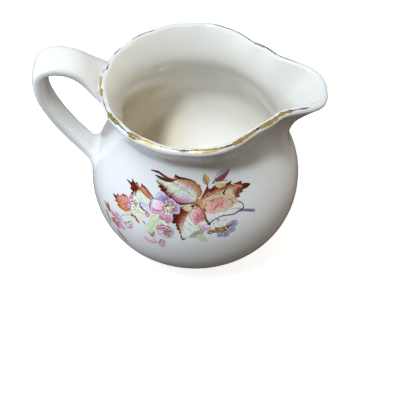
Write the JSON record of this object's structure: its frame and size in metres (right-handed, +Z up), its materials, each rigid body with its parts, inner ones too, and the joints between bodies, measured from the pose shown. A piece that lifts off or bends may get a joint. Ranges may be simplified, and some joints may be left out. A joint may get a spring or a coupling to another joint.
{
  "type": "cream jug",
  "caption": "Round-bellied glazed cream jug with a flared rim, broad beak spout, raised strap handle, foot ring, gold rim line and printed autumn leaf sprays.",
  "frame": {"origin": "centre of the foot ring, on the plane that the jug stands on", "axes": "+Z up, +X towards the spout, -X towards the handle, main print on the -Y side"},
  "size_m": [0.12, 0.092, 0.1018],
  "materials": {
    "glazed_body": "gloss",
    "gold_line": "worn gilding",
    "leaf_print": "printed under a thin flux",
    "blossom_print": "printed under a thin flux"
  },
  "bodies": {
    "root": {"jug_body": "glazed_body", "handle": "glazed_body", "upper_handle_slip": "glazed_body", "lower_handle_slip": "glazed_body", "rim_gilding": "gold_line", "leaf_spray_transfer": "leaf_print", "blossom_spray_transfer": "blossom_print", "side_blossom_transfer": "blossom_print", "back_spray_transfer": "leaf_print"}
  },
  "joints": []
}
